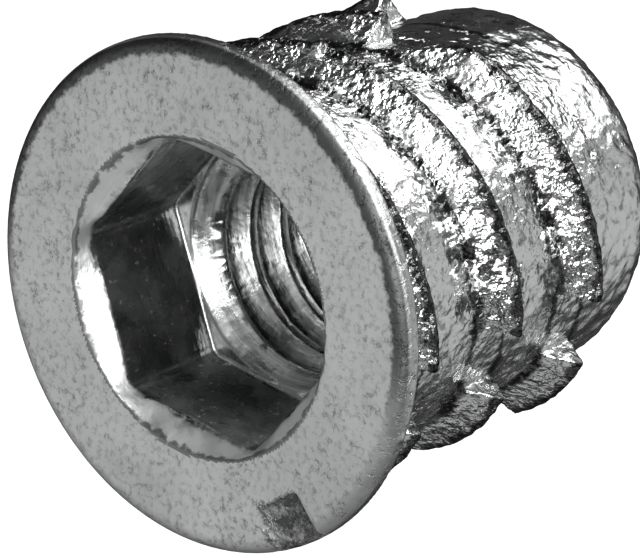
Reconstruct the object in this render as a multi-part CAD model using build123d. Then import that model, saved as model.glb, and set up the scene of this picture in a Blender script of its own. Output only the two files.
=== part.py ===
from build123d import *
from math import cos, radians, sin
import os

# A threaded insert for wood: one zinc die casting with a flange, driven with a
# hex key into a drilled hole, where its machine thread then takes a bolt.
#
# Millimetres. The insert stands on its tip: Z = 0 is the tip's end face and
# +Z runs along the bore to the flange's face. Two flats of the hex socket
# lie across X. Angles are in degrees about +Z, from +X.

# Body
LENGTH = 15.0
CORE_RADIUS = 5.8
CORE_DRAFT = 0.13         # on the radius, towards the tip
TIP_RADIUS = CORE_RADIUS - CORE_DRAFT

# Flange
FLANGE_RADIUS = 7.6
FLANGE_THICKNESS = 0.6
FLANGE_EDGE_ROUNDING = 0.45

# Hex socket, which widens to a round mouth
SOCKET_ACROSS_FLATS = 8.15
SOCKET_DEPTH = 4.35
SOCKET_CORNER_RADIUS = 0.43
MOUTH_RADIUS = SOCKET_ACROSS_FLATS / 2 + 0.645
MOUTH_DEPTH = 0.7

# Bore, as the plain cylinder at the minor diameter of a 5/16-18 thread
BORE_RADIUS = 3.3
BORE_ENTRY_RADIUS = SOCKET_ACROSS_FLATS / 2 - 0.075
BORE_EXIT_RADIUS = BORE_RADIUS + 0.3

# Tip, rounded from the flat ring round the bore's exit out to the side
TIP_FACE_WIDTH = 0.37
TIP_ROUNDING = TIP_RADIUS - BORE_EXIT_RADIUS - TIP_FACE_WIDTH

# Outer wood thread: right-handed ridges with a long front flank, which faces
# the flange, and a steep back flank
RIDGE_STARTS = 2
RIDGE_LEAD = 7.76
RIDGE_HEIGHT = 0.9
RIDGE_CREST_RADIUS = CORE_RADIUS + RIDGE_HEIGHT
RIDGE_CREST_FLAT = 0.15
RIDGE_FRONT_BASE = 0.95
RIDGE_BACK_BASE = 0.45
RIDGE_ROOT_SINK = 0.4
RIDGE_PHASE = 240.6     # angle at which the first crest line would meet Z = 0
RIDGE_START_HEIGHT = 3.3

# Lands along the die's parting lines. At two of them the ridges are cleared
# down to the core; at the other two the turns nearer the tip end square and climb
# again slowly.
CLEARED_LAND_ANGLES = (258, 78)
CLEARED_LAND_WIDTH = 2.4
RAMPED_LAND_ANGLES = (9.5, 189.5)
RAMPED_LAND_TOP = 8.6
RAMP_SPAN = 25


def turned_blank():
    """Core, rounded tip and flange, as one solid of revolution."""
    underside = LENGTH - FLANGE_THICKNESS
    tip_face_edge = (TIP_RADIUS - TIP_ROUNDING, 0)
    tip_side = (TIP_RADIUS, TIP_ROUNDING)
    rim_side = (FLANGE_RADIUS, LENGTH - FLANGE_EDGE_ROUNDING)
    rim_face = (FLANGE_RADIUS - FLANGE_EDGE_ROUNDING, LENGTH)
    with BuildPart() as blank:
        with BuildSketch(Plane.XZ):
            with BuildLine():
                Line((0, 0), tip_face_edge)
                RadiusArc(tip_face_edge, tip_side, -TIP_ROUNDING)
                Line(tip_side, (CORE_RADIUS, underside))
                Line((CORE_RADIUS, underside), (FLANGE_RADIUS, underside))
                Line((FLANGE_RADIUS, underside), rim_side)
                RadiusArc(rim_side, rim_face, -FLANGE_EDGE_ROUNDING)
                Line(rim_face, (0, LENGTH))
                Line((0, LENGTH), (0, 0))
            make_face()
        revolve(axis=Axis.Z)
    return blank.part


def wood_thread_ridge(start):
    """One start of the wood thread, its section drawn in a plane through the axis."""
    highest = LENGTH - FLANGE_THICKNESS / 2
    root_radius = TIP_RADIUS - RIDGE_ROOT_SINK
    growth = (RIDGE_CREST_RADIUS - root_radius) / RIDGE_HEIGHT
    crest_half = RIDGE_CREST_FLAT / 2
    path = Helix(RIDGE_LEAD, highest - RIDGE_START_HEIGHT, RIDGE_CREST_RADIUS)
    with BuildSketch(Plane.XZ) as section:
        Polygon(
            (RIDGE_CREST_RADIUS, crest_half),
            (root_radius, crest_half + RIDGE_FRONT_BASE * growth),
            (root_radius, -crest_half - RIDGE_BACK_BASE * growth),
            (RIDGE_CREST_RADIUS, -crest_half),
            align=None,
        )
    ridge = sweep(section.sketch, path=path, is_frenet=True)
    start_angle = RIDGE_PHASE + 360 * (start / RIDGE_STARTS + RIDGE_START_HEIGHT / RIDGE_LEAD)
    placed = Pos(0, 0, RIDGE_START_HEIGHT) * Rot(0, 0, start_angle) * ridge
    below_face = Pos(0, 0, highest / 2) * Cylinder(2 * RIDGE_CREST_RADIUS, highest)
    return placed & below_face


def cleared_land(angle):
    """Straight-sided channel through the ridges, down to the core."""
    reach = 2 * RIDGE_CREST_RADIUS
    channel = Box(reach, CLEARED_LAND_WIDTH, 2 * LENGTH)
    return Rot(0, 0, angle) * Pos(reach / 2, 0, LENGTH / 2) * channel


def ramped_land(angle):
    """Step down to the core at the angle, and a ramp back up to the crests beyond it."""
    reach = 2 * RIDGE_CREST_RADIUS
    ramp_end = radians(-RAMP_SPAN)
    crest_point = (RIDGE_CREST_RADIUS * cos(ramp_end), RIDGE_CREST_RADIUS * sin(ramp_end))
    with BuildSketch() as wedge:
        Polygon(
            (CORE_RADIUS, 0),
            (reach, 0),
            (reach, crest_point[1]),
            crest_point,
            align=None,
        )
    return Rot(0, 0, angle) * extrude(wedge.sketch, RAMPED_LAND_TOP)


def socket_outline(height, round_radius=None):
    """Closed wire of an arc at each corner of the hexagon and an edge along each flat.

    With a round radius, the same twelve edges lie on a circle, so that the
    hexagon and the mouth loft edge to edge.
    """
    vertex_distance = SOCKET_ACROSS_FLATS / 2 / cos(radians(30))
    arc_centre = vertex_distance - SOCKET_CORNER_RADIUS / cos(radians(30))

    def corner_point(corner, turn):
        x = arc_centre * cos(radians(corner)) + SOCKET_CORNER_RADIUS * cos(radians(corner + turn))
        y = arc_centre * sin(radians(corner)) + SOCKET_CORNER_RADIUS * sin(radians(corner + turn))
        stretch = round_radius / (x * x + y * y) ** 0.5 if round_radius else 1
        return (x * stretch, y * stretch, height)

    edges = []
    for corner in range(30, 390, 60):
        edges.append(ThreePointArc(*[corner_point(corner, turn) for turn in (-30, 0, 30)]))
        flat_start = corner_point(corner, 30)
        flat_end = corner_point(corner + 60, -30)
        if round_radius:
            flat = radians(corner + 30)
            middle = (round_radius * cos(flat), round_radius * sin(flat), height)
            edges.append(ThreePointArc(flat_start, middle, flat_end))
        else:
            edges.append(Line(flat_start, flat_end))
    return Wire(edges)


def hex_socket():
    """Key socket with rounded corners, lofted out to its round mouth."""
    floor = LENGTH - SOCKET_DEPTH
    shoulder = LENGTH - MOUTH_DEPTH
    hexagon = Face(socket_outline(shoulder))
    mouth = Face(socket_outline(LENGTH, MOUTH_RADIUS))
    shaft = extrude(hexagon, amount=shoulder - floor, dir=(0, 0, -1))
    return shaft + loft([hexagon, mouth])


def bore():
    """Minor-diameter bore with a countersink at each end."""
    floor = LENGTH - SOCKET_DEPTH
    entry_depth = BORE_ENTRY_RADIUS - BORE_RADIUS
    exit_depth = BORE_EXIT_RADIUS - BORE_RADIUS
    hole = Pos(0, 0, LENGTH / 2) * Cylinder(BORE_RADIUS, LENGTH)
    entry = Pos(0, 0, floor - entry_depth / 2) * Cone(BORE_RADIUS, BORE_ENTRY_RADIUS, entry_depth)
    exit_cone = Pos(0, 0, exit_depth / 2) * Cone(BORE_EXIT_RADIUS, BORE_RADIUS, exit_depth)
    return hole + entry + exit_cone


def threaded_insert():
    lands = [cleared_land(angle) for angle in CLEARED_LAND_ANGLES]
    lands += [ramped_land(angle) for angle in RAMPED_LAND_ANGLES]
    casting = turned_blank()
    for start in range(RIDGE_STARTS):
        ridge = wood_thread_ridge(start)
        for land in lands:
            ridge = ridge - land
        casting = casting + ridge
    return casting - hex_socket() - bore()


os.makedirs("parts", exist_ok=True)
insert = threaded_insert()
insert.label = "threaded_insert"
export_step(insert, "parts/threaded_insert.step")
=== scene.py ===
from math import cos, pi, radians, sin

import bpy
from mathutils import Matrix, Vector


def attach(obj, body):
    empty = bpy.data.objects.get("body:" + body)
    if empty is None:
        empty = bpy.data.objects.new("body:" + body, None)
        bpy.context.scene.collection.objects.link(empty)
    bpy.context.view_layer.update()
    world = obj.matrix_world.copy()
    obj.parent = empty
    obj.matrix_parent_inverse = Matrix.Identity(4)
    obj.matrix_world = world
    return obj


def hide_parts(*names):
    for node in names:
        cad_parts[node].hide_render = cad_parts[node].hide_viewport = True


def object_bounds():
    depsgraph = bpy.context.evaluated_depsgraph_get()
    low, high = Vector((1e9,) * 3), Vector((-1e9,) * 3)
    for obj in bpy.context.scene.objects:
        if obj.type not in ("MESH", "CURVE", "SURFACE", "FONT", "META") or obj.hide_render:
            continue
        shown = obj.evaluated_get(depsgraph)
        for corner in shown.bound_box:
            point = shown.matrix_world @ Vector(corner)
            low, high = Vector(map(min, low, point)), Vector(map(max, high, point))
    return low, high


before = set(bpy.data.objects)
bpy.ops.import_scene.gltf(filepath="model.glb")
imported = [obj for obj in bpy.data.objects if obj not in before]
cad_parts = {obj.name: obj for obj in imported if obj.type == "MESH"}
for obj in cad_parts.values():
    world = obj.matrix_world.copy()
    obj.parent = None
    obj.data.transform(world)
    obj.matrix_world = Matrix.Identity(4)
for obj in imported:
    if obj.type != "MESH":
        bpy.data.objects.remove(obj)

cad_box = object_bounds()
scene = bpy.context.scene
MM = 0.001

# ------------------------------------------------------------------ camera
# A long lens looks down on the flange from above one side, rolled until the
# insert's axis runs off to the right of the frame.

SENSOR_WIDTH = 36.0
LENS_IN_SENSOR_WIDTHS = 6.506

to_camera = Vector((0.42922, -0.53288, 0.7292))
frame_up = Vector((0.8916, 0.37903, -0.2479))
camera_place = Vector((51.57, -65.17, 98.45)) * MM

camera_data = bpy.data.cameras.new("camera")
camera_data.sensor_width = SENSOR_WIDTH
camera_data.lens = SENSOR_WIDTH * LENS_IN_SENSOR_WIDTHS
camera_data.clip_start = 0.005
camera_data.clip_end = 10.0
camera = bpy.data.objects.new("camera", camera_data)
scene.collection.objects.link(camera)
camera_back = to_camera.normalized()
camera_right = frame_up.cross(camera_back).normalized()
camera_up = camera_back.cross(camera_right)
turn = Matrix((camera_right, camera_up, camera_back)).transposed()
camera.matrix_world = Matrix.Translation(camera_place) @ turn.to_4x4()
scene.camera = camera
scene.view_settings.view_transform = "Standard"

# ------------------------------------------------------------ floor and light
# A plain pale floor, a large key softbox low on the bright side, a fill near
# the camera, and a dim studio with soft bright patches. The floor is hidden from
# reflections: the patches below the horizon stand for it in the metal.

FLOOR_SIZE = 2.0
FLOOR_GREY = 0.8
FLOOR_LIFT = 0.72       # added where the camera sees the floor, which takes it to white
STUDIO_GREY = 0.05


def add_node(tree, kind, **settings):
    node = tree.nodes.new(kind)
    for name, value in settings.items():
        setattr(node, name, value)
    return node


def new_material(name):
    material = bpy.data.materials.new(name)
    material.use_nodes = True
    material.node_tree.nodes.clear()
    return material, material.node_tree


bpy.ops.object.select_all(action="DESELECT")
bpy.ops.mesh.primitive_plane_add(size=FLOOR_SIZE, location=(0, 0, 0))
floor = bpy.context.object
floor.name = "floor"
floor.visible_glossy = False

floor_material, tree = new_material("pale_floor")
output = add_node(tree, "ShaderNodeOutputMaterial")
paint = add_node(tree, "ShaderNodeBsdfDiffuse")
paint.inputs["Color"].default_value = (FLOOR_GREY, FLOOR_GREY, FLOOR_GREY, 1)
lift = add_node(tree, "ShaderNodeEmission")
light_path = add_node(tree, "ShaderNodeLightPath")
lift_strength = add_node(tree, "ShaderNodeMath", operation="MULTIPLY")
lift_strength.inputs[1].default_value = FLOOR_LIFT
tree.links.new(light_path.outputs["Is Camera Ray"], lift_strength.inputs[0])
tree.links.new(lift_strength.outputs[0], lift.inputs["Strength"])
both = add_node(tree, "ShaderNodeAddShader")
tree.links.new(paint.outputs[0], both.inputs[0])
tree.links.new(lift.outputs[0], both.inputs[1])
tree.links.new(both.outputs[0], output.inputs["Surface"])
floor.data.materials.append(floor_material)


def softbox(name, place, aim, width, height, watts):
    """A rectangular softbox: place and aim in millimetres."""
    data = bpy.data.lights.new(name, "AREA")
    data.shape = "RECTANGLE"
    data.size = width * MM
    data.size_y = height * MM
    data.energy = watts
    lamp = bpy.data.objects.new(name, data)
    scene.collection.objects.link(lamp)
    lamp.location = Vector(place) * MM
    lamp.rotation_euler = (Vector(aim) - Vector(place)).to_track_quat("-Z", "Y").to_euler()
    return lamp


softbox("key_softbox", (260, -150, 60), (0, 0, 8), 160, 110, 0.8)
softbox("fill_softbox", (70, -170, 190), (0, 0, 8), 160, 160, 0.35)

world = bpy.data.worlds.new("studio")
scene.world = world
world.use_nodes = True
sky = world.node_tree
sky.nodes.clear()
sky_output = add_node(sky, "ShaderNodeOutputWorld")
background = add_node(sky, "ShaderNodeBackground")
sky.links.new(background.outputs[0], sky_output.inputs["Surface"])
direction = add_node(sky, "ShaderNodeTexCoord").outputs["Generated"]


def glow(azimuth, elevation, inner, outer, strength):
    """Brightness of a soft round patch of the studio, by its direction in degrees."""
    axis = (
        cos(radians(azimuth)) * cos(radians(elevation)),
        sin(radians(azimuth)) * cos(radians(elevation)),
        sin(radians(elevation)),
    )
    towards = add_node(sky, "ShaderNodeVectorMath", operation="DOT_PRODUCT")
    towards.inputs[1].default_value = axis
    sky.links.new(direction, towards.inputs[0])
    fade = add_node(sky, "ShaderNodeMapRange", interpolation_type="SMOOTHSTEP")
    fade.inputs["From Min"].default_value = cos(radians(outer))
    fade.inputs["From Max"].default_value = cos(radians(inner))
    fade.inputs["To Max"].default_value = strength
    sky.links.new(towards.outputs["Value"], fade.inputs["Value"])
    return fade.outputs["Result"]


def add_up(values):
    total = values[0]
    for value in values[1:]:
        adder = add_node(sky, "ShaderNodeMath", operation="ADD")
        sky.links.new(total, adder.inputs[0])
        sky.links.new(value, adder.inputs[1])
        total = adder.outputs[0]
    return total


studio_grey = add_node(sky, "ShaderNodeValue")
studio_grey.outputs[0].default_value = STUDIO_GREY
studio_light = add_up([
    studio_grey.outputs[0],
    glow(-12, -38, 18, 32, 3.0),        # floor under the key softbox
    glow(-40, 6, 6, 18, 2.4),           # key side, at the horizon
    glow(-100, -42, 10, 46, 0.62),      # floor in front
    glow(-51, 47, 18, 55, 0.6),         # overhead, near the camera
    glow(129, 47, 22, 50, 0.74),        # overhead, across from the camera, for the face
    glow(198, 13, 10, 34, 0.5),         # far side, at the horizon
])
seen = add_node(sky, "ShaderNodeLightPath")
choose = add_node(sky, "ShaderNodeMix", data_type="FLOAT")
choose.inputs["B"].default_value = 1.0
sky.links.new(seen.outputs["Is Camera Ray"], choose.inputs["Factor"])
sky.links.new(studio_light, choose.inputs["A"])
sky.links.new(choose.outputs["Result"], background.inputs["Strength"])

# ------------------------------------------------------------ the zinc insert
# One zinc die casting: turned-looking body, flange, hex socket and two coarse
# ridges, cast in one shot, then tapped with a 5/16-18 machine thread.
# It starts as the CAD solid, worked in millimetres until it is finished.

LENGTH = cad_box[1][2] / MM
FLANGE_BAND = 0.62              # flange thickness, with a little of the side below
SOCKET_DEPTH = 4.35
MOUTH_RADIUS = 4.72
RIDGE_LEAD = 7.76
CREST_ANGLE = -48.4             # where a crest passes CREST_HEIGHT
CREST_HEIGHT = 9.29

BORE_RADIUS = 3.3
THREAD_PITCH = 1.411
THREAD_MAJOR_RADIUS = 3.98
THREAD_ROOT_FLAT = 0.2
THREAD_MOUTH = 1.08
TAP_TURNS = 9
TAP_BELOW_TIP = 1.0
TAP_OVERLAP = 0.25

SCAR_ANGLE = 227                # of its sharp end
SCAR_DEPTH = 0.3
SCAR_SLOPE = 9
RELIEF_SIZE = 0.4
RELIEF_HEIGHT = 0.10
VOXEL = 0.09
TRIANGLES = 190000


def only_select(piece):
    bpy.ops.object.select_all(action="DESELECT")
    piece.select_set(True)
    bpy.context.view_layer.objects.active = piece


def apply_modifier(piece, kind, **settings):
    modifier = piece.modifiers.new(kind.lower(), kind)
    for name, value in settings.items():
        setattr(modifier, name, value)
    only_select(piece)
    bpy.ops.object.modifier_apply(modifier=modifier.name)


cad_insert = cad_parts["threaded_insert"]
insert = cad_insert.copy()
insert.data = cad_insert.data.copy()
insert.name = "zinc_insert"
insert.parent = None
scene.collection.objects.link(insert)
only_select(insert)
insert.scale = (1 / MM, 1 / MM, 1 / MM)
bpy.ops.object.transform_apply(location=True, rotation=True, scale=True)
bpy.ops.object.mode_set(mode="EDIT")
bpy.ops.mesh.select_all(action="SELECT")
bpy.ops.mesh.remove_doubles(threshold=0.0005)
bpy.ops.object.mode_set(mode="OBJECT")

# The tap: a helical cutter of the thread's section, longer than the bore.
bpy.ops.object.select_all(action="DESELECT")
bpy.ops.mesh.primitive_plane_add(size=1, location=(0, 0, 0))
tap = bpy.context.object
tap.name = "tap"
inner_radius = BORE_RADIUS - TAP_OVERLAP
slope = (THREAD_MOUTH - THREAD_ROOT_FLAT) / (THREAD_MAJOR_RADIUS - BORE_RADIUS)
inner_width = THREAD_MOUTH + slope * (BORE_RADIUS - inner_radius)
for vertex in tap.data.vertices:
    outer = vertex.co.x > 0
    half_width = (THREAD_ROOT_FLAT if outer else inner_width) / 2
    height = half_width if vertex.co.y > 0 else -half_width
    vertex.co = (THREAD_MAJOR_RADIUS if outer else inner_radius, 0, height - TAP_BELOW_TIP)
bpy.ops.object.mode_set(mode="EDIT")
bpy.ops.mesh.select_all(action="SELECT")
bpy.ops.mesh.delete(type="ONLY_FACE")
bpy.ops.object.mode_set(mode="OBJECT")
apply_modifier(
    tap, "SCREW", axis="Z", angle=2 * pi, screw_offset=THREAD_PITCH, iterations=TAP_TURNS,
    steps=72, render_steps=72, use_merge_vertices=True, merge_threshold=0.0001,
)
bpy.ops.object.mode_set(mode="EDIT")
bpy.ops.mesh.select_mode(type="EDGE")
bpy.ops.mesh.select_all(action="DESELECT")
bpy.ops.mesh.select_non_manifold()
bpy.ops.mesh.fill()
bpy.ops.mesh.select_all(action="SELECT")
bpy.ops.mesh.normals_make_consistent(inside=False)
bpy.ops.object.mode_set(mode="OBJECT")
apply_modifier(insert, "BOOLEAN", object=tap, operation="DIFFERENCE", solver="EXACT")
bpy.data.objects.remove(tap)


def unite_or_cut(tool, operation):
    """Boolean a tool shape into the casting, and remove the tool."""
    only_select(tool)
    bpy.ops.object.transform_apply(location=True, rotation=True, scale=True)
    apply_modifier(insert, "BOOLEAN", object=tool, operation=operation, solver="EXACT")
    bpy.data.objects.remove(tool)


def on_side(angle, radius, height):
    return (radius * cos(radians(angle)), radius * sin(radians(angle)), height)


# Flash left by the die: a bead on a crest and a small bump on the rim.
for angle, radius, height, size in (
    (3.6, 6.62, 10.5, 0.27),
    (2.0, 6.58, 10.38, 0.18),
    (261, 7.5, 14.6, 0.16),
):
    bpy.ops.object.select_all(action="DESELECT")
    bpy.ops.mesh.primitive_uv_sphere_add(
        segments=24, ring_count=16, radius=size, location=on_side(angle, radius, height),
    )
    unite_or_cut(bpy.context.object, "UNION")

# The gate was broken off the flange: a ragged step at one end of the scar,
# which then rises again to the face.
bpy.ops.object.select_all(action="DESELECT")
bpy.ops.mesh.primitive_cube_add(size=1, location=(0, 0, 0))
scar = bpy.context.object
scar.matrix_world = (
    Matrix.Rotation(radians(SCAR_ANGLE), 4, "Z")
    @ Matrix.Translation((7.05, 0, LENGTH - SCAR_DEPTH))
    @ Matrix.Rotation(radians(-SCAR_SLOPE), 4, "X")
    @ Matrix.Translation((0, -1.4, 0.5))
    @ Matrix.Diagonal((1.9, 2.8, 1, 1))
)
unite_or_cut(scar, "DIFFERENCE")

insert.data.remesh_voxel_size = VOXEL
only_select(insert)
bpy.ops.object.voxel_remesh()
apply_modifier(insert, "SMOOTH", factor=0.5, iterations=2)

# The die's pebbling stands up from the body's side as real, shallow relief.
cast_side = insert.vertex_groups.new(name="cast_side")
cast_side.add(
    [
        v.index for v in insert.data.vertices
        if 0.5 < v.co.z < LENGTH - 0.75 and v.co.x ** 2 + v.co.y ** 2 > 5.2 ** 2
    ],
    1.0, "REPLACE",
)
relief = bpy.data.textures.new("cast_relief", "CLOUDS")
relief.noise_scale = RELIEF_SIZE
relief.noise_depth = 1
apply_modifier(
    insert, "DISPLACE", texture=relief, texture_coords="LOCAL", direction="NORMAL",
    strength=RELIEF_HEIGHT, mid_level=0.5, vertex_group="cast_side",
)
apply_modifier(insert, "TRIANGULATE")
if len(insert.data.polygons) > TRIANGLES:
    apply_modifier(insert, "DECIMATE", ratio=TRIANGLES / len(insert.data.polygons))
insert.scale = (MM, MM, MM)
only_select(insert)
bpy.ops.object.transform_apply(location=True, rotation=True, scale=True)
bpy.ops.object.shade_smooth()

insert.data.materials.clear()

# Three zones of skin, by where each face lies: the cast body, the flange with
# its lightly ground face, and the socket and tapped bore inside.


def colour(grey):
    return (grey * 0.985, grey, grey * 0.998, 1)


def link(tree, a, b):
    tree.links.new(a, b)


def noise(tree, where, scale, detail=3.0, roughness=0.5, distortion=0.0):
    """Noise on object coordinates; scale is in features per millimetre."""
    node = add_node(tree, "ShaderNodeTexNoise")
    node.inputs["Scale"].default_value = scale / MM
    node.inputs["Detail"].default_value = detail
    node.inputs["Roughness"].default_value = roughness
    node.inputs["Distortion"].default_value = distortion
    link(tree, where, node.inputs["Vector"])
    return node.outputs["Fac"]


def remap(tree, value, low, high, out_low=0.0, out_high=1.0, smooth=True):
    node = add_node(tree, "ShaderNodeMapRange")
    node.interpolation_type = "SMOOTHSTEP" if smooth else "LINEAR"
    node.inputs["From Min"].default_value = low
    node.inputs["From Max"].default_value = high
    node.inputs["To Min"].default_value = out_low
    node.inputs["To Max"].default_value = out_high
    link(tree, value, node.inputs["Value"])
    return node.outputs["Result"]


def calc(tree, operation, a, b=None):
    node = add_node(tree, "ShaderNodeMath", operation=operation)
    for socket, value in zip(node.inputs, (a, b)):
        if value is None:
            continue
        if isinstance(value, (int, float)):
            socket.default_value = value
        else:
            link(tree, value, socket)
    return node.outputs[0]


def blend(tree, mask, a, b):
    """Greys or colours a and b mixed by a mask."""
    node = add_node(tree, "ShaderNodeMix", data_type="RGBA")
    link(tree, mask, node.inputs["Factor"])
    for socket, value in ((node.inputs["A"], a), (node.inputs["B"], b)):
        if isinstance(value, tuple):
            socket.default_value = value
        else:
            link(tree, value, socket)
    return node.outputs["Result"]


def bump(tree, height, distance, strength=1.0, normal=None):
    node = add_node(tree, "ShaderNodeBump")
    node.inputs["Distance"].default_value = distance * MM
    node.inputs["Strength"].default_value = strength
    link(tree, height, node.inputs["Height"])
    if normal is not None:
        link(tree, normal, node.inputs["Normal"])
    return node.outputs["Normal"]


def new_group(name, inputs, outputs):
    """A node group whose inputs and outputs are floats, but for a Place vector."""
    group = bpy.data.node_groups.new(name, "ShaderNodeTree")
    for side, names in (("INPUT", inputs), ("OUTPUT", outputs)):
        for socket in names:
            kind = "NodeSocketVector" if socket == "Place" else "NodeSocketFloat"
            group.interface.new_socket(name=socket, in_out=side, socket_type=kind)
    return group, add_node(group, "NodeGroupInput"), add_node(group, "NodeGroupOutput")


def place_group(tree, group, where, **values):
    node = add_node(tree, "ShaderNodeGroup", node_tree=group)
    link(tree, where, node.inputs["Place"])
    for name, value in values.items():
        node.inputs[name].default_value = value
    return node


# Where a point lies on the insert: from the axis and up it in millimetres, and
# round it in radians.
on_insert, entry, result = new_group("place_on_insert", ["Place"], ["Radius", "Height", "Around"])
parts = add_node(on_insert, "ShaderNodeSeparateXYZ")
link(on_insert, entry.outputs["Place"], parts.inputs[0])
x_squared = calc(on_insert, "MULTIPLY", parts.outputs["X"], parts.outputs["X"])
y_squared = calc(on_insert, "MULTIPLY", parts.outputs["Y"], parts.outputs["Y"])
from_axis = calc(on_insert, "SQRT", calc(on_insert, "ADD", x_squared, y_squared))
radius = calc(on_insert, "MULTIPLY", from_axis, 1 / MM)
height = calc(on_insert, "MULTIPLY", parts.outputs["Z"], 1 / MM)
around = calc(on_insert, "ARCTAN2", parts.outputs["Y"], parts.outputs["X"])
link(on_insert, radius, result.inputs["Radius"])
link(on_insert, height, result.inputs["Height"])
link(on_insert, around, result.inputs["Around"])

# Soft-edged patches, as of dirt, wear or uneven gloss, and a wavering distance
# for ragged edges. The two differ in how their noise is spread over its range.
PATCH_INPUTS = ["Place", "Scale", "Detail", "Roughness", "Low", "High", "Least", "Most"]


def noise_group(name, interpolation):
    group, entry, result = new_group(name, PATCH_INPUTS, ["Value"])
    grain = add_node(group, "ShaderNodeTexNoise")
    spread = add_node(group, "ShaderNodeMapRange", interpolation_type=interpolation)
    for source, socket in (
        ("Place", grain.inputs["Vector"]),
        ("Scale", grain.inputs["Scale"]),
        ("Detail", grain.inputs["Detail"]),
        ("Roughness", grain.inputs["Roughness"]),
        ("Low", spread.inputs["From Min"]),
        ("High", spread.inputs["From Max"]),
        ("Least", spread.inputs["To Min"]),
        ("Most", spread.inputs["To Max"]),
    ):
        link(group, entry.outputs[source], socket)
    link(group, grain.outputs["Fac"], spread.inputs["Value"])
    link(group, spread.outputs["Result"], result.inputs["Value"])
    return group


patch_group = noise_group("soft_patches", "SMOOTHSTEP")
waver_group = noise_group("wavering_edge", "LINEAR")


def patches(tree, where, scale, detail, roughness, low, high, least=0.0, most=1.0):
    """Patches of noise, sized in features per millimetre."""
    node = place_group(
        tree, patch_group, where, Scale=scale / MM, Detail=detail, Roughness=roughness,
        Low=low, High=high, Least=least, Most=most,
    )
    return node.outputs["Value"]


def waver(tree, where, scale, detail, roughness, reach):
    """A distance in millimetres that wanders between minus and plus its reach."""
    node = place_group(
        tree, waver_group, where, Scale=scale / MM, Detail=detail, Roughness=roughness,
        Low=0.3, High=0.7, Least=-reach, Most=reach,
    )
    return node.outputs["Value"]


def radius_height(tree):
    """Object coordinates, and the place on the insert that they give."""
    where = add_node(tree, "ShaderNodeTexCoord").outputs["Object"]
    place = place_group(tree, on_insert, where)
    return where, place.outputs["Radius"], place.outputs["Height"], place.outputs["Around"]


def metal_shader(tree):
    output = add_node(tree, "ShaderNodeOutputMaterial")
    metal = add_node(tree, "ShaderNodeBsdfPrincipled")
    metal.inputs["Metallic"].default_value = 1.0
    link(tree, metal.outputs[0], output.inputs["Surface"])
    return metal


# Cast body: glossy zinc, pebbled all over by the die, in patches rougher and
# smoother, with a few larger dimples and soft waves.
cast_skin, tree = new_material("cast_skin")
metal = metal_shader(tree)
where, radius, height, around = radius_height(tree)
patch = patches(tree, where, 0.35, 2.0, 0.5, 0.38, 0.6)
fine = noise(tree, where, 4.6, 2.0, 0.45)
coarse = noise(tree, where, 1.7, 2.0, 0.5, 0.4)
wave = noise(tree, where, 0.55, 1.0)
pebble_depth = remap(tree, patch, 0, 1, 0.4, 1.0, smooth=False)
flank = remap(tree, radius, 5.9, 6.2, 0.8, 1.35)
pebble_depth = calc(tree, "MULTIPLY", pebble_depth, flank)
pebbles = calc(tree, "MULTIPLY", fine, pebble_depth)
smooth_side = calc(
    tree, "MULTIPLY", remap(tree, around, -1.45, -1.0, 1.0, 0.0),
    remap(tree, around, -2.6, -2.2, 0.0, 1.0),
)
calm = remap(tree, smooth_side, 0, 1, 1.0, 0.75, smooth=False)
tip_calm = remap(tree, height, 2.2, 4.4, 0.22, 1.0)
pebbles = calc(tree, "MULTIPLY", pebbles, calc(tree, "MULTIPLY", calm, tip_calm))
skin = bump(tree, wave, 0.15, 1.0)
skin = bump(tree, coarse, 0.06, 1.0, skin)
skin = bump(tree, pebbles, 0.16, 1.0, skin)
link(tree, skin, metal.inputs["Normal"])
dust = patches(tree, where, 3.1, 3.0, 0.5, 0.52, 0.68)
tone = blend(tree, dust, colour(0.82), colour(0.40))
# Painted shade follows the wood thread: a dark line along its crest, and shade in the root of each
# flank.
turns = calc(tree, "MULTIPLY", calc(tree, "SUBTRACT", height, CREST_HEIGHT), 1 / RIDGE_LEAD)
turns = calc(tree, "SUBTRACT", turns, calc(tree, "MULTIPLY", around, 1 / (2 * pi)))
turns = calc(tree, "SUBTRACT", calc(tree, "MULTIPLY", turns, 2.0), -2 * CREST_ANGLE / 360 - 0.5)
from_crest = calc(tree, "SUBTRACT", calc(tree, "FRACT", turns), 0.5)
from_crest = calc(tree, "MULTIPLY", from_crest, RIDGE_LEAD / 2)
ragged = waver(tree, where, 1.5, 4.0, 0.6, 0.14)
ragged_place = calc(tree, "ADD", from_crest, ragged)
crest_shade = calc(
    tree, "MULTIPLY", remap(tree, calc(tree, "ABSOLUTE", ragged_place), 0.16, 0.27, 1.0, 0.0),
    remap(tree, radius, 6.2, 6.4),
)
root_shade = calc(
    tree, "MULTIPLY",
    remap(tree, calc(tree, "ABSOLUTE", calc(tree, "SUBTRACT", ragged_place, 1.0)), 0.06, 0.2, 1.0, 0.0),
    remap(tree, radius, 5.9, 6.1, 1.0, 0.0),
)
back_root_shade = calc(
    tree, "MULTIPLY",
    remap(tree, calc(tree, "ABSOLUTE", calc(tree, "ADD", ragged_place, 0.5)), 0.06, 0.16, 1.0, 0.0),
    remap(tree, radius, 5.95, 6.15, 1.0, 0.0),
)
painted_thread_shade = calc(tree, "MAXIMUM", crest_shade, calc(tree, "MAXIMUM", root_shade, back_root_shade))
painted_thread_shade = calc(tree, "MULTIPLY", painted_thread_shade, remap(tree, height, 2.6, 3.6))
# Painted shade: the thread's crest and roots darkened nearly to black, fading out towards the tip.
tone = blend(tree, calc(tree, "MULTIPLY", painted_thread_shade, 0.92), tone, colour(0.06))
link(tree, tone, metal.inputs["Base Color"])
link(tree, patches(tree, where, 1.1, 2.0, 0.5, 0.35, 0.65, 0.16, 0.27), metal.inputs["Roughness"])
insert.data.materials.append(cast_skin)
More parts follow.
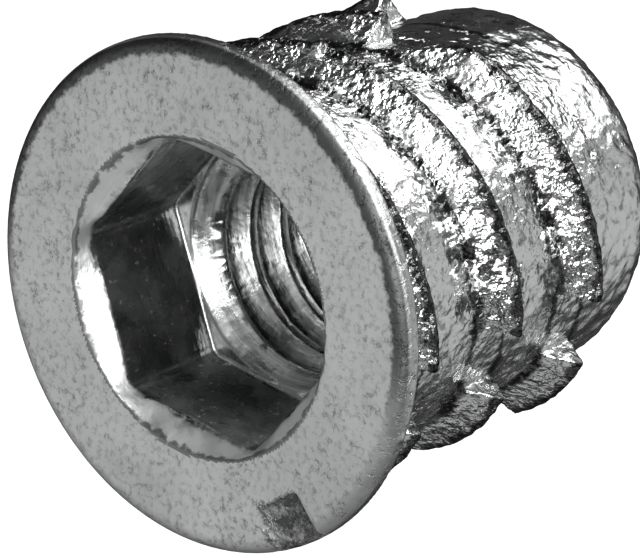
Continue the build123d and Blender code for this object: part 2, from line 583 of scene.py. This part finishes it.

# Flange: a satin face, speckled with fine dark pits and rubbed by handling,
# over a rolled rim whose upper edge carries painted shade, deepest on one side,
# with dark pits in it.
flange_skin, tree = new_material("satin_flange")
metal = metal_shader(tree)
where, radius, height, around = radius_height(tree)
specks = patches(tree, where, 4.6, 4.0, 0.7, 0.48, 0.72)
blotches = patches(tree, where, 1.5, 4.0, 0.65, 0.46, 0.66)
clouds = noise(tree, where, 0.22, 2.0)
speckle = calc(tree, "MULTIPLY", specks, remap(tree, blotches, 0, 1, 0.42, 1.0, smooth=False))
face_tone = blend(tree, remap(tree, clouds, 0.35, 0.65), colour(0.60), colour(0.70))
face_tone = blend(tree, calc(tree, "MULTIPLY", blotches, 0.3), face_tone, colour(0.48))
face_tone = blend(tree, speckle, face_tone, colour(0.34))
rim_wander = waver(tree, where, 3.0, 4.0, 0.7, 0.1)
rim = remap(tree, calc(tree, "ADD", radius, rim_wander), 7.02, 7.2)
rim_low = remap(tree, height, LENGTH - 0.28, LENGTH - 0.18)
# Painted shade on the rim's upper edge, with dark pits in it, deepest on the side facing about 5
# degrees round.
rim_shade_tone = blend(tree, specks, colour(0.12), colour(0.05))
rim_shade_side = calc(tree, "COSINE", calc(tree, "SUBTRACT", around, radians(5)))
rim_shade_mask = calc(tree, "MULTIPLY", rim, rim_low)
rim_shade_mask = calc(tree, "MULTIPLY", rim_shade_mask, remap(tree, rim_shade_side, -0.3, 0.15, 0.25, 1.0))
face_tone = blend(tree, rim_shade_mask, face_tone, rim_shade_tone)
torn_around = calc(tree, "ADD", around, calc(tree, "MULTIPLY", rim_wander, 0.8))
torn_radius = calc(tree, "ADD", radius, rim_wander)
scar_fades = remap(tree, torn_around, -2.60, -2.52)
scar_stops = remap(tree, around, -2.325, -2.30, 1.0, 0.0)
scar_mask = calc(tree, "MULTIPLY", scar_fades, scar_stops)
scar_mask = calc(tree, "MULTIPLY", scar_mask, remap(tree, torn_radius, 6.0, 6.2))
scar_grain = patches(tree, where, 2.6, 4.0, 0.7, 0.4, 0.62)
scar_tone = blend(tree, scar_grain, colour(0.10), colour(0.42))
face_tone = blend(tree, scar_mask, face_tone, scar_tone)
link(tree, face_tone, metal.inputs["Base Color"])
satin = patches(tree, where, 0.8, 3.0, 0.5, 0.35, 0.65, 0.42, 0.52)
side = remap(tree, height, LENGTH - 0.38, LENGTH - 0.25)
side_shine = add_node(tree, "ShaderNodeMix", data_type="FLOAT")
link(tree, side, side_shine.inputs["Factor"])
side_shine.inputs["A"].default_value = 0.28
link(tree, satin, side_shine.inputs["B"])
link(tree, side_shine.outputs["Result"], metal.inputs["Roughness"])
face = bump(tree, noise(tree, where, 0.5, 2.0), 0.05, 1.0)
face = bump(tree, calc(tree, "MULTIPLY", speckle, -1.0), 0.025, 1.0, face)
face = bump(tree, noise(tree, where, 6.0, 2.0), 0.012, 1.0, face)
face = bump(tree, calc(tree, "MULTIPLY", scar_grain, scar_mask), 0.12, 1.0, face)
link(tree, face, metal.inputs["Normal"])
insert.data.materials.append(flange_skin)

# Socket and bore: semi-gloss cast walls darkened by painted shade, with tiny
# bright nicks, a light mouth with a painted highlight and painted shade on its
# rounded edge, and a tapped thread with fine turned lines and painted shade in
# its grooves.
inside_skin, tree = new_material("socket_and_thread")
metal = metal_shader(tree)
where, radius, height, around = radius_height(tree)
socket_floor = LENGTH - SOCKET_DEPTH
walls = calc(
    tree, "MULTIPLY", remap(tree, height, socket_floor - 0.02, socket_floor + 0.14),
    remap(tree, height, LENGTH - 0.75, LENGTH - 0.45, 1.0, 0.0),
)
nicks = patches(tree, where, 5.5, 2.0, 0.5, 0.66, 0.72)
grime_and_shade = patches(tree, where, 0.7, 4.0, 0.6, 0.35, 0.65)
# The walls' dark tone is painted shade in the recess, in random patches of grime.
wall_shade_tone = blend(tree, grime_and_shade, colour(0.34), colour(0.18))
wall_shade_tone = blend(tree, nicks, wall_shade_tone, colour(0.75))
stretch = add_node(tree, "ShaderNodeMapping")
stretch.inputs["Scale"].default_value = (0.06, 0.06, 1.0)
link(tree, where, stretch.inputs["Vector"])
lines = noise(tree, stretch.outputs["Vector"], 9.0, 3.0, 0.6)
thread_tone = blend(tree, remap(tree, lines, 0.38, 0.62), colour(0.38), colour(0.72))
# Painted shade, nearly black, in the grooves of the tapped thread below the socket.
groove_shade = remap(tree, radius, 3.45, 3.9, 0.0, 1.0)
below = remap(tree, height, socket_floor - 0.75, socket_floor - 0.65, 1.0, 0.0)
thread_tone = blend(tree, calc(tree, "MULTIPLY", groove_shade, below), thread_tone, colour(0.06))
tone = blend(tree, walls, thread_tone, wall_shade_tone)
# A light band round the mouth: painted highlight on its chamfer, which is also made rougher.
mouth_break = waver(tree, where, 2.4, 4.0, 0.65, 0.13)
mouth_break = calc(tree, "ADD", height, mouth_break)
mouth_highlight = remap(tree, mouth_break, LENGTH - 0.7, LENGTH - 0.5)
tone = blend(tree, mouth_highlight, tone, colour(0.85))
# Painted shade along the mouth's rounded outer edge.
mouth_edge_shade = remap(tree, mouth_break, LENGTH - 0.16, LENGTH - 0.05)
tone = blend(tree, calc(tree, "MULTIPLY", mouth_edge_shade, 0.8), tone, colour(0.12))
link(tree, tone, metal.inputs["Base Color"])
gloss = patches(tree, where, 1.3, 3.0, 0.5, 0.35, 0.65, 0.2, 0.34)
gloss = calc(tree, "ADD", gloss, calc(tree, "MULTIPLY", mouth_highlight, 0.22))
link(tree, gloss, metal.inputs["Roughness"])
inner = bump(tree, noise(tree, where, 0.9, 3.0), 0.05, 1.0)
inner = bump(tree, noise(tree, where, 5.0, 2.0), 0.012, 1.0, inner)
inner = bump(tree, lines, 0.012, 1.0, inner)
link(tree, inner, metal.inputs["Normal"])
insert.data.materials.append(inside_skin)

CAST_BODY, FLANGE, INSIDE = range(3)
bpy.context.view_layer.update()
for skin_face in insert.data.polygons:
    x, y, z = skin_face.center / MM
    out = (x * x + y * y) ** 0.5
    inward = skin_face.normal.x * x + skin_face.normal.y * y < 0
    socket_edge = out < MOUTH_RADIUS and z > LENGTH - 0.9
    if (inward and out < 4.8 and z > 0.4) or socket_edge or (out < 4.8 and z > 1.0):
        skin_face.material_index = INSIDE
    elif z > LENGTH - FLANGE_BAND and out > 4.5:
        skin_face.material_index = FLANGE
    else:
        skin_face.material_index = CAST_BODY

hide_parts("threaded_insert")
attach(insert, "root")
